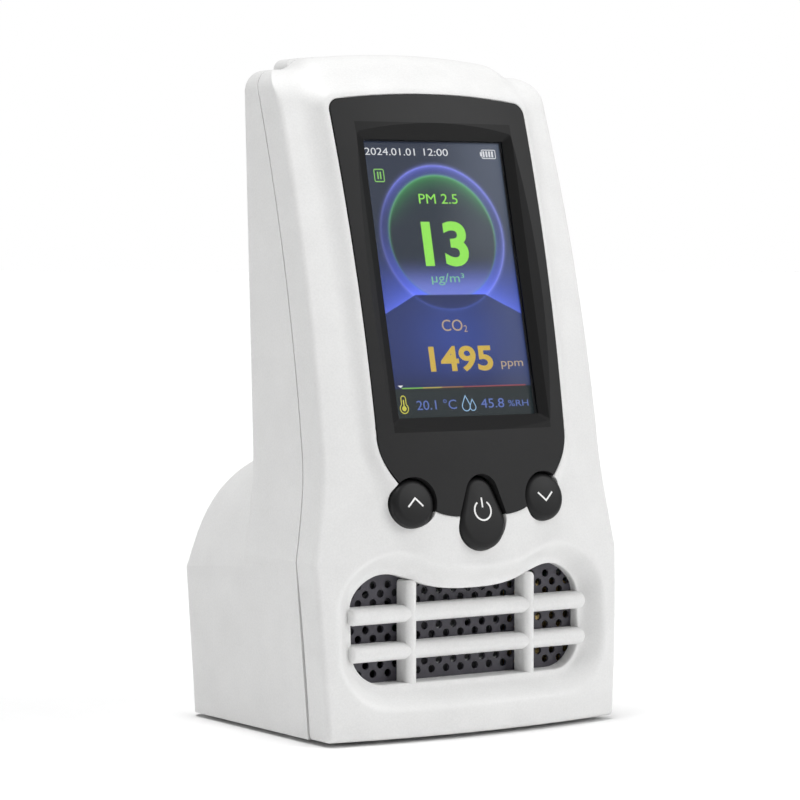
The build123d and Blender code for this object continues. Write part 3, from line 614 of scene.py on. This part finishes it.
def screen_material():
    """The lit picture: a colour attribute glows, very slightly uneven."""
    mat, tree, shader, coords = tree_of("lcd_glow")
    colour = tree.nodes.new("ShaderNodeVertexColor")
    colour.layer_name = "picture"
    fine = noise(tree, coords, 0.25, 2.0)
    scale = tree.nodes.new("ShaderNodeMix")
    scale.data_type = "RGBA"
    scale.blend_type = "MULTIPLY"
    scale.inputs["Factor"].default_value = 1.0
    tree.links.new(colour.outputs["Color"], scale.inputs[6])
    tree.links.new(mixed(tree, fine, (0.9, 0.9, 0.9), (1.0, 1.0, 1.0)), scale.inputs[7])
    shader.inputs["Base Color"].default_value = (0.004, 0.004, 0.005, 1)
    shader.inputs["Roughness"].default_value = 0.35
    shader.inputs["Specular IOR Level"].default_value = 0.1
    tree.links.new(scale.outputs[2], shader.inputs["Emission Color"])
    shader.inputs["Emission Strength"].default_value = 1.0
    return mat


def glow_material(name, colour, strength=1.0):
    mat, tree, shader, coords = tree_of(name)
    fine = noise(tree, coords, 0.3, 2.0)
    low = tuple(c * 0.88 for c in colour)
    shader.inputs["Base Color"].default_value = (0.01, 0.01, 0.01, 1)
    tree.links.new(mixed(tree, fine, low, colour), shader.inputs["Emission Color"])
    shader.inputs["Emission Strength"].default_value = strength
    return mat


WHITE = (0.79, 0.79, 0.785)
DULL = {"Specular IOR Level": 0.25}
finishes = {
    "case_white": finish_material("case_white", WHITE, 0.5, 0.05, 0.45, 0.4, 0.03),
    "bezel_black": bezel_material(),
    "clear_window": glass_material(),
    "lcd_face": finish_material("lcd_face", (0.012, 0.013, 0.016), 0.3, 0.1, 0.2),
    "backlight_frame": finish_material("backlight_frame", (0.55, 0.56, 0.58), 0.35, 0.05, 0.5),
    "flex_film": finish_material("flex_film", (0.42, 0.2, 0.05), 0.3, 0.08, 0.6),
    "key_rubber": finish_material(
        "key_rubber", (0.01, 0.01, 0.0105), 0.45, 0.12, 0.22, 0.35, 0.02, **DULL
    ),
    "plunger_plastic": finish_material("plunger_plastic", (0.12, 0.12, 0.13), 0.5),
    "switch_steel": finish_material("switch_steel", (0.6, 0.6, 0.61), 0.28, metal=1.0),
    "board_green": finish_material("board_green", (0.02, 0.14, 0.06), 0.38, 0.15, 0.8),
    "chip_black": finish_material("chip_black", (0.02, 0.02, 0.022), 0.55, 0.12),
    "buzzer_black": finish_material("buzzer_black", (0.025, 0.025, 0.025), 0.5, 0.1),
    "connector_ivory": finish_material("connector_ivory", (0.72, 0.68, 0.56), 0.45),
    "mesh_dark": finish_material("mesh_dark", (0.055, 0.052, 0.066), 0.42, 0.1, 0.35, 0.3, 0.02),
    "foam_black": finish_material("foam_black", (0.02, 0.02, 0.022), 0.95, 0.4, 0.7, 1.0, 0.2),
    "sensor_shell": finish_material("sensor_shell", (0.5, 0.51, 0.52), 0.32, metal=0.9),
    "fan_black": finish_material("fan_black", (0.025, 0.025, 0.026), 0.42, 0.1),
    "laser_brass": finish_material("laser_brass", (0.62, 0.44, 0.18), 0.3, metal=1.0),
    "co2_gold": finish_material("co2_gold", (0.75, 0.56, 0.24), 0.28, metal=1.0),
    "cell_wrap": finish_material("cell_wrap", (0.03, 0.18, 0.42), 0.3, 0.06),
    "cradle_black": finish_material("cradle_black", (0.03, 0.03, 0.03), 0.55),
    "wire_silicone": finish_material("wire_silicone", (0.45, 0.03, 0.03), 0.5),
    "usb_steel": finish_material("usb_steel", (0.6, 0.6, 0.6), 0.25, metal=1.0),
    "screw_steel": finish_material("screw_steel", (0.34, 0.34, 0.35), 0.32, metal=1.0),
    "foot_rubber": finish_material("foot_rubber", (0.03, 0.03, 0.03), 0.8, 0.12, 0.4, 0.6, 0.04),
    "plate_grey": finish_material("plate_grey", (0.62, 0.63, 0.64), 0.35, 0.04),
}
slot_of = {s["node"]: s["material_slot"] for s in frame["record"]["subparts"]}
for name, obj in nodes.items():
    obj.data.materials.clear()
    obj.data.materials.append(finishes[slot_of[name]])


def piece(obj, body, slot, *replaced, material=None):
    """Give a new piece its material, its body and the CAD nodes it stands for."""
    obj.data.materials.clear()
    obj.data.materials.append(material or finishes[slot])
    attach(obj, body)
    if replaced:
        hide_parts(*replaced)
    return obj


# ---------------------------------------------------------------- case front and keys
skin_pts, skin_faces = front_skin()
front = new_object("front_moulding", skin_pts, skin_faces)
piece(front, "case", "case_white", "front_cover")
bars = new_object("intake_bars", *grille_bars(), sharp=50)
piece(bars, "case", "case_white")

keys = {
    "set": lambda grow: round_loop(-KEY_X, grow),
    "enter": egg_loop,
    "memory": lambda grow: round_loop(KEY_X, grow),
}
for key_name, loop_at in keys.items():
    obj = new_object(f"{key_name}_key_top", *dome_key(loop_at), sharp=60)
    piece(obj, f"{key_name}_key", "key_rubber", f"{key_name}_button")


def ribbon(path, width, closed_path=False):
    """Quads along a flat path, with mitred corners."""
    p = np.array(path, float)
    n = len(p)
    left, right = [], []
    for i in range(n):
        before = p[i] - p[i - 1] if i or closed_path else p[1] - p[0]
        after = p[(i + 1) % n] - p[i] if i < n - 1 or closed_path else p[i] - p[i - 1]
        before, after = before / np.linalg.norm(before), after / np.linalg.norm(after)
        normal = np.array([-(before + after)[1], (before + after)[0]])
        normal /= np.linalg.norm(normal)
        half = 0.5 * width / max(0.4, normal @ np.array([-before[1], before[0]]))
        left.append(tuple(p[i] + normal * half))
        right.append(tuple(p[i] - normal * half))
    count = n if closed_path else n - 1
    quads = [(i, (i + 1) % n, n + (i + 1) % n, n + i) for i in range(count)]
    return left + right, quads


def add_shape(shapes, path, width, closed_path=False):
    flat, quads = ribbon(path, width, closed_path)
    first = len(shapes[0])
    shapes[0].extend(flat)
    shapes[1].extend(tuple(first + i for i in q) for q in quads)


def arc_path(u, v, radius, start, end, count=28):
    turns = [math.radians(start + (end - start) * i / count) for i in range(count + 1)]
    return [(u + radius * math.cos(t), v + radius * math.sin(t)) for t in turns]


def fine_path(points, step=0.4):
    out = []
    for a, b in zip(points, points[1:]):
        out += straight(a, b, step)[:-1]
    return out + [points[-1]]


key_v = (KEY_Z - DISPLAY_Z) / math.cos(DISPLAY_LEAN)
icon_white = finish_material("icon_white", (0.86, 0.86, 0.85), 0.5, 0.04, 0.2)


def icon(name, body, paths, top_at):
    """A printed mark that lies on a key's dome."""
    shapes = ([], [])
    for path, width in paths:
        add_shape(shapes, path, width)
    points = [on_plane(u, v, top_at(u, v)) for u, v in shapes[0]]
    points += [on_plane(u, v, top_at(u, v) - 0.05) for u, v in shapes[0]]
    n = len(shapes[0])
    faces = []
    uses = {}
    for q in shapes[1]:
        faces.append(q)
        faces.append(tuple(n + i for i in reversed(q)))
        for a, b in zip(q, q[1:] + q[:1]):
            uses.setdefault((min(a, b), max(a, b)), []).append((a, b))
    for pairs in uses.values():
        if len(pairs) == 1:
            a, b = pairs[0]
            faces.append((b, a, n + a, n + b))
    obj = new_object(name, points, faces, sharp=40)
    piece(obj, body, "key_rubber", material=icon_white)


def key_top(distance):
    """Level of a printed mark on a key's dome, at a share of the way from its middle to its edge."""
    return KEY_PROUD - KEY_EDGE_DROP + KEY_CROWN * max(0, 1 - distance) + MARK_PROUD


def round_top(x):
    return lambda u, v: key_top(((u - x) ** 2 + (v - key_v) ** 2) / 4.1**2)


egg_v = (52.7 - DISPLAY_Z) / math.cos(DISPLAY_LEAN)


def egg_top(u, v):
    return key_top((u / 4.9) ** 2 + ((v - egg_v) / 6.6) ** 2)


chevron_up = fine_path([(-KEY_X - 2.1, key_v - 0.9), (-KEY_X, key_v + 1.1), (-KEY_X + 2.1, key_v - 0.9)])
chevron_down = fine_path([(KEY_X - 2.1, key_v + 0.9), (KEY_X, key_v - 1.1), (KEY_X + 2.1, key_v + 0.9)])
icon("set_mark", "set_key", [(chevron_up, 0.42)], round_top(-KEY_X))
icon("memory_mark", "memory_key", [(chevron_down, 0.42)], round_top(KEY_X))
power = [
    (arc_path(0, egg_v + 0.6, 2.35, 125, 415), 0.42),
    (fine_path([(0, egg_v + 1.3), (0, egg_v + 3.7)]), 0.42),
]
icon("enter_mark", "enter_key", power, egg_top)

# ---------------------------------------------------------------- the picture on the display
HALF_W, HALF_H = 20.3, 33.85
RING_V, RING_R, DISC_R = 10.2, 17.8, 15.35


def lerp(a, b, t):
    return a + (np.asarray(b) - a) * t[..., None]


def tint(colour, amount):
    return np.array(colour) * amount[..., None]


def picture():
    """Colours of the display's background on a fine grid: rings, podium, glow, the dark strip, and a
    painted reflection, a grey haze towards the upper right.
    """
    us = np.linspace(-HALF_W, HALF_W, 204)
    vs = np.linspace(-HALF_H, HALF_H, 339)
    u, v = np.meshgrid(us, vs)
    r = np.hypot(u, v - RING_V)
    height = (v + HALF_H) / (2 * HALF_H)
    colour = np.zeros(u.shape + (3,)) + np.array([0.012, 0.022, 0.05])
    blue = np.exp(-(((v + 6.0) / 9.5) ** 2)) * (v > -9)
    colour += tint([0.02, 0.045, 0.36], blue * (0.45 + 0.55 * np.clip(1 - np.abs(u) / 34, 0, 1)))
    # Painted reflection: a grey haze over the right and upper part of the picture, standing in for the
    # window's gloss.
    painted_reflection = smooth((u + 6) / 26) * smooth((height - 0.1) / 0.9)
    colour += tint([0.07, 0.08, 0.1], painted_reflection)
    edge = np.clip((np.abs(u) - 10.25) / 10.05, 0, 1)
    podium_v = -3.9 - 5.0 * edge
    above = np.exp(-np.maximum(v - podium_v, 0) / 3.6) * (v > podium_v)
    colour += tint([0.07, 0.1, 0.5], above)
    ring = smooth((RING_R - r) / 0.25) * smooth((r - DISC_R) / 0.25)
    low = smooth((RING_V - v) / 22 + 0.2)
    colour += tint([0.035, 0.045, 0.3], ring * (0.35 + 0.65 * low))
    outer = np.exp(-np.abs(r - RING_R) / 0.3) * (r < RING_R + 1)
    colour += tint([0.17, 0.19, 0.62], outer * (0.45 + 0.55 * smooth((u + v - RING_V + 14) / 26)))
    glow = np.exp(-np.maximum(RING_R - r, 0) / 1.5) * (r < RING_R) * smooth((v - RING_V - 2) / 14)
    colour += tint([0.06, 0.07, 0.33], glow)
    disc = smooth((DISC_R - r) / 0.2)
    depth = np.maximum(DISC_R - r, 0)
    crescent = np.exp(-depth / 1.9) * smooth((v - RING_V - 1) / 12)
    inner = np.zeros_like(colour) + np.array([0.008, 0.018, 0.035])
    # Painted reflection: the grey haze carried into the inner disc, towards its upper right.
    inner += tint([0.05, 0.055, 0.062], smooth((u + 4) / 18) * smooth((v + 4) / 14))
    inner += tint([0.03, 0.24, 0.045], crescent)
    floor_glow = smooth((RING_V - 3 - v) / 11)
    inner += tint([0.16, 0.2, 0.7], floor_glow**1.8)
    rim_line = np.exp(-np.abs(r - DISC_R) / 0.22)
    colour = lerp(colour, inner, disc)
    colour += tint([0.1, 0.34, 0.13], rim_line * (0.25 + 0.75 * smooth((v - RING_V + 9) / 16)))
    below = smooth((podium_v - v) / 0.15)
    body = np.zeros_like(colour) + np.array([0.01, 0.024, 0.13])
    centre = np.exp(-((u / 13.0) ** 2)) * np.exp(-(((v + 14) / 9.5) ** 2))
    body += tint([0.012, 0.03, 0.16], centre)
    shadow = smooth((RING_R - r) / 0.3)
    body = lerp(body, body * 0.55, shadow * 0.9)
    body += tint([0.02, 0.035, 0.16], np.exp(-np.abs(r - RING_R) / 0.35) * (np.abs(u) < 10.5))
    body *= (0.7 + 0.3 * smooth((v + 26.4) / 5))[..., None]
    # Painted reflection: the grey haze carried over the podium, towards the right.
    body += tint([0.03, 0.035, 0.04], smooth((u - 4) / 14))
    colour = lerp(colour, body, below)
    strip = smooth((-26.5 - v) / 0.15)
    colour = lerp(colour, np.zeros_like(colour) + np.array([0.008, 0.016, 0.018]), strip)
    rim_dark = smooth((HALF_W - np.abs(u)) / 0.5) * smooth((HALF_H - np.abs(v)) / 0.5)
    colour *= (0.35 + 0.65 * rim_dark)[..., None]
    return us, vs, np.clip(colour, 0, 1.2)


us, vs, colours = picture()
grid_points = [on_plane(u, v, PICTURE_LEVEL) for v in vs for u in us]
count = len(us)
grid_faces = [
    (j * count + i, j * count + i + 1, (j + 1) * count + i + 1, (j + 1) * count + i)
    for j in range(len(vs) - 1)
    for i in range(count - 1)
]
screen_mesh = bpy.data.meshes.new("lcd_picture")
screen_mesh.from_pydata([Vector(p) * MM for p in grid_points], [], grid_faces)
layer = screen_mesh.color_attributes.new("picture", "FLOAT_COLOR", "POINT")
rgba = np.concatenate([colours.reshape(-1, 3), np.ones((len(grid_points), 1))], axis=1)
layer.data.foreach_set("color", rgba.astype(np.float32).ravel())
screen = bpy.data.objects.new("lcd_picture", screen_mesh)
bpy.context.scene.collection.objects.link(screen)
piece(screen, "case", "lcd_face", material=screen_material())


def lettering(name, rows, colour, strength=1.0):
    """Readings in the built-in face, each (text, left, baseline, cap height, width, weight)."""
    points, faces = [], []
    material = glow_material(name, colour, strength)
    for text, u, v, height, width, weight in rows:
        curve = bpy.data.curves.new(name, "FONT")
        curve.body = text
        curve.offset = weight
        curve.resolution_u = 5
        temp = bpy.data.objects.new(name + "_text", curve)
        bpy.context.scene.collection.objects.link(temp)
        mesh = bpy.data.meshes.new_from_object(temp.evaluated_get(bpy.context.evaluated_depsgraph_get()))
        co = np.array([p.co[:] for p in mesh.vertices])
        co[:, 0] -= co[:, 0].min()
        scale = width / co[:, 0].max() if width else height / CAP_HEIGHT
        first = len(points)
        points += [on_plane(u + x * scale, v + y * height / CAP_HEIGHT, MARK_LEVEL) for x, y, _ in co]
        faces += [tuple(first + i for i in f.vertices) for f in mesh.polygons]
        bpy.data.objects.remove(temp)
        bpy.data.meshes.remove(mesh)
        bpy.data.curves.remove(curve)
    obj = new_object(name, points, faces)
    piece(obj, "case", "lcd_face", material=material)


def flat_marks(name, shapes, colour, strength=1.0):
    """Icons on the display from flat ribbons and filled outlines."""
    flat, quads = ([], [])
    for shape in shapes:
        if shape[0] == "fill":
            first = len(flat)
            flat += list(shape[1])
            quads.append(tuple(range(first, len(flat))))
        else:
            add_shape((flat, quads), shape[1], shape[2], shape[0] == "ring")
    obj = new_object(name, [on_plane(u, v, MARK_LEVEL) for u, v in flat], quads)
    piece(obj, "case", "lcd_face", material=glow_material(name, colour, strength))


def rounded(u0, v0, u1, v1, r):
    corners = [(u1 - r, v1 - r, 0), (u0 + r, v1 - r, 90), (u0 + r, v0 + r, 180), (u1 - r, v0 + r, 270)]
    out = []
    for u, v, start in corners:
        out += arc_path(u, v, r, start, start + 90, 5)
    return out


def rect(u0, v0, u1, v1):
    return [(u0, v0), (u1, v0), (u1, v1), (u0, v1)]


lettering(
    "clock_digits",
    [("2024.01.01", -19.4, 30.35, 1.85, 14.4, 0.0), ("12:00", -2.4, 30.4, 1.85, 7.1, 0.0)],
    (0.72, 0.74, 0.78),
)
lettering(
    "dust_reading",
    [("PM 2.5", -5.6, 18.5, 2.55, 11.3, 0.0), ("13", -6.0, 3.55, 10.7, 13.0, 0.03)],
    (0.27, 0.83, 0.05),
)
lettering("dust_unit", [("µg/m³", -4.9, -0.9, 2.3, 9.6, 0.0)], (0.16, 0.52, 0.3))
lettering("gas_reading", [("1495", -8.5, -22.4, 6.0, 18.4, 0.026)], (0.62, 0.42, 0.025))
lettering(
    "gas_unit",
    [("CO", -3.7, -12.8, 2.9, 6.0, 0.0), ("2", 2.6, -13.1, 1.7, 0, 0.0)]
    + [("ppm", 12.2, -21.8, 2.1, 6.5, 0.0)],
    (0.45, 0.34, 0.2),
)
lettering(
    "climate_readings",
    [("20.1 °C", -13.9, -31.75, 2.35, 11.5, 0.0), ("45.8", 4.7, -31.75, 2.35, 6.8, 0.0)]
    + [("%RH", 12.7, -31.6, 1.6, 6.0, 0.0)],
    (0.07, 0.14, 0.5),
)
bars_in_battery = [("fill", rect(15.0 + 0.85 * i, 30.25, 15.55 + 0.85 * i, 31.75)) for i in range(4)]
flat_marks(
    "battery_icon",
    [("ring", rounded(14.7, 29.95, 18.75, 32.05, 0.3), 0.22), ("fill", rect(14.2, 30.5, 14.6, 31.5))]
    + bars_in_battery,
    (0.72, 0.74, 0.78),
)
flat_marks(
    "hold_icon",
    [("ring", rounded(-17.5, 23.8, -14.8, 26.8, 0.35), 0.28)]
    + [("fill", rect(-16.7, 24.4, -16.3, 26.2)), ("fill", rect(-15.95, 24.4, -15.55, 26.2))],
    (0.2, 0.55, 0.08),
)
scale_colours = [(-17.5, -11.5, (0.16, 0.5, 0.04)), (-11.5, -6.0, (0.5, 0.42, 0.04))]
scale_colours += [(-6.0, 0.2, (0.3, 0.12, 0.02)), (0.2, 18.6, (0.28, 0.015, 0.03))]
for i, (a, b, tint) in enumerate(scale_colours):
    flat_marks(f"scale_bar_{i}", [("fill", rect(a, -26.6, b, -26.32))], tint)
pointer = [(-18.6, -25.75), (-17.8, -26.35), (-17.0, -25.75)]
flat_marks("scale_pointer", [("fill", pointer)], (0.8, 0.8, 0.82))
thermometer = arc_path(-17.5, -31.3, 1.15, 125, 415, 20)
flat_marks(
    "thermometer_icon",
    [("line", [(-16.85, -30.3)] + arc_path(-17.5, -28.9, 0.65, 0, 180, 10) + [(-18.15, -30.3)], 0.24)]
    + [("line", thermometer, 0.24), ("fill", arc_path(-17.5, -31.3, 0.62, 0, 350, 20))]
    + [("fill", rect(-17.65, -31.0, -17.35, -29.2))],
    (0.62, 0.6, 0.03),
)


def drop(u, v, size):
    """A water drop's outline: a round foot drawn up to a point."""
    side = arc_path(u, v, size, 150, 390, 22)
    tip = [(0.45, 1.35), (0, 2.2), (-0.45, 1.35)]
    return side + [(u + size * a, v + size * b) for a, b in tip]


flat_marks(
    "humidity_icon",
    [("ring", drop(0.35, -31.2, 1.15), 0.22), ("ring", drop(2.25, -31.45, 0.85), 0.2)],
    (0.3, 0.55, 0.85),
)

# ---------------------------------------------------------------- camera, floor and light
CAMERA_AT = (-0.4341, -0.6452, 0.1172)
CAMERA_DIP, CAMERA_TURN = 2.845, 33.826
LENS_MM = 142.68
SKY_FILL = 0.3

scene = bpy.context.scene
scene.view_settings.view_transform = "Standard"
camera = bpy.data.objects.new("camera", bpy.data.cameras.new("camera"))
camera.data.lens = LENS_MM
camera.data.sensor_width = 36.0
camera.data.clip_end = 50.0
camera.location = CAMERA_AT
camera.rotation_euler = (math.radians(90 - CAMERA_DIP), 0, math.radians(-CAMERA_TURN))
scene.collection.objects.link(camera)
scene.camera = camera

floor_points, floor_faces = [(0, 0, 0)], []
for ring_index, radius in enumerate((300, 1500, 12000)):
    for i in range(64):
        t = 2 * math.pi * i / 64
        floor_points.append((radius * math.cos(t), radius * math.sin(t), 0))
        a, b = 1 + ring_index * 64 + i, 1 + ring_index * 64 + (i + 1) % 64
        floor_faces.append((0, a, b) if ring_index == 0 else (a - 64, a, b, b - 64))
floor = new_object("floor", floor_points, floor_faces)
floor.data.materials.append(finish_material("floor_pale", (0.93, 0.93, 0.93), 0.7, 0.01, 2.0, 0.02))


def soft_light(name, location, spread, strength):
    """An even light from location towards the object; spread is in degrees."""
    light = bpy.data.lights.new(name, "SUN")
    light.angle = math.radians(spread)
    light.energy = strength
    obj = bpy.data.objects.new(name, light)
    obj.location = location
    obj.rotation_euler = (-Vector(location)).to_track_quat("-Z", "Y").to_euler()
    scene.collection.objects.link(obj)


soft_light("key_light", (1.0, -1.1, 0.9), 30, 1.05)
soft_light("top_light", (-0.15, 0.05, 1.5), 30, 2.5)
world = bpy.data.worlds.new("studio")
world.use_nodes = True
scene.world = world
sky = world.node_tree.nodes["Background"]
sky.inputs["Color"].default_value = (1, 1, 1, 1)
path = world.node_tree.nodes.new("ShaderNodeLightPath")
level = world.node_tree.nodes.new("ShaderNodeMapRange")
level.inputs["To Min"].default_value = SKY_FILL
level.inputs["To Max"].default_value = 1.0
world.node_tree.links.new(path.outputs["Is Camera Ray"], level.inputs["Value"])
world.node_tree.links.new(level.outputs["Result"], sky.inputs["Strength"])
